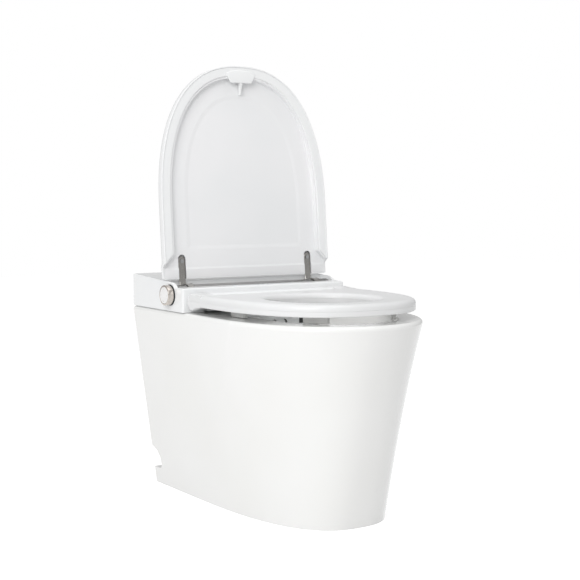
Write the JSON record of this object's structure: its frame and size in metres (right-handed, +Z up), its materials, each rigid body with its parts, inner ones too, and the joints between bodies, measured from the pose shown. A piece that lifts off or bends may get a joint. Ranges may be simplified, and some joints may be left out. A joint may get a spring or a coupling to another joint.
{
  "type": "electric bidet seat",
  "caption": "Electric bidet seat on its skirted ceramic pan: hinged lid on a full-width tube, heated seat ring, side control knob, wash nozzles and dryer.",
  "frame": {"origin": "centre of the drain outlet at floor level, which is also half way along the pan on its centre plane", "axes": "+Z up, -Y towards the user (front of the pan), +X to the side away from the knob"},
  "size_m": [0.4261, 0.6442, 0.9195],
  "materials": {
    "vitreous_china": "glazed white",
    "white_abs": "moulded gloss white",
    "seat_pp": "moulded gloss white",
    "chassis_plastic": "moulded light grey",
    "inner_plastic": "moulded dark grey",
    "chrome_tube": "polished",
    "satin_steel": "satin",
    "stainless": "bright",
    "soft_rubber": "moulded translucent white",
    "black_rubber": "moulded",
    "knob_metal": "satin champagne",
    "lens": "clear",
    "panel_gloss": "smoked white",
    "brass_plated": "nickel plated",
    "circuit": "solder mask",
    "foil": "foil"
  },
  "bodies": {
    "pan": {"ceramic_pan": "vitreous_china", "outlet_seal": "black_rubber", "floor_brackets": "satin_steel", "deck_gasket": "soft_rubber", "base_tub": "chassis_plastic", "flange_bolts": "stainless", "flange_nuts": "inner_plastic", "rear_housing": "white_abs", "housing_screws": "stainless", "front_panel": "panel_gloss", "indicator_lenses": "lens", "seat_hinge_barrel": "white_abs", "seat_drive": "inner_plastic", "lid_hinge_stubs": "stainless", "lid_drive": "inner_plastic", "knob_bezel": "inner_plastic", "knob_encoder": "inner_plastic", "nozzle_guides": "chassis_plastic", "nozzle_drives": "inner_plastic", "heater_tank": "chassis_plastic", "water_pump": "inner_plastic", "solenoid_valve": "inner_plastic", "water_inlet": "brass_plated", "power_gland": "inner_plastic", "blower_casing": "inner_plastic", "blower_motor": "stainless", "dryer_duct": "chassis_plastic", "deodoriser": "inner_plastic", "control_board": "circuit", "transformer": "inner_plastic"},
    "lid": {"hinge_tube": "chrome_tube", "lid_brackets": "satin_steel", "lid_shell": "white_abs", "lid_liner": "white_abs", "lid_grip_tab": "white_abs", "bracket_screws": "stainless"},
    "seat": {"seat_top_shell": "seat_pp", "seat_bottom_shell": "seat_pp", "seat_heater": "foil", "seat_bumpers": "soft_rubber", "seat_hinge_pins": "stainless"},
    "knob": {"knob_ring": "knob_metal"},
    "knob_button": {"knob_cap": "white_abs"},
    "rear_wand": {"rear_nozzle": "white_abs"},
    "front_wand": {"front_nozzle": "white_abs"},
    "fan": {"blower_impeller": "inner_plastic"},
    "outlet_flap": {"dryer_flap": "white_abs"}
  },
  "joints": [
    {"name": "lid_hinge", "type": "hinge", "parent": "pan", "child": "lid", "pos_m": [0, 0.15, 0.434], "axis": [-1, 0, 0], "range_deg": [-95, 0]},
    {"name": "seat_hinge", "type": "hinge", "parent": "pan", "child": "seat", "pos_m": [0, 0.076, 0.424], "axis": [-1, 0, 0], "range_deg": [0, 92]},
    {"name": "knob_turn", "type": "hinge", "parent": "pan", "child": "knob", "pos_m": [-0.205, 0.15, 0.434], "axis": [1, 0, 0], "range_deg": [-135, 135]},
    {"name": "knob_press", "type": "slide", "parent": "knob", "child": "knob_button", "axis": [1, 0, 0], "range_m": [0, 0.0025], "stiffness_N_per_m": 400, "springref_m": -0.0025},
    {"name": "rear_nozzle_slide", "type": "slide", "parent": "pan", "child": "rear_wand", "axis": [0, -0.9848, -0.1736], "range_m": [0, 0.09]},
    {"name": "front_nozzle_slide", "type": "slide", "parent": "pan", "child": "front_wand", "axis": [0, -0.9848, -0.1736], "range_m": [0, 0.09]},
    {"name": "fan_spin", "type": "hinge", "parent": "pan", "child": "fan", "pos_m": [0.098, 0.214, 0.36], "axis": [0, 0, 1], "continuous": true},
    {"name": "outlet_flap_hinge", "type": "hinge", "parent": "pan", "child": "outlet_flap", "pos_m": [-0.064, 0.0472, 0.3884], "axis": [-1, 0, 0], "range_deg": [0, 60]}
  ]
}
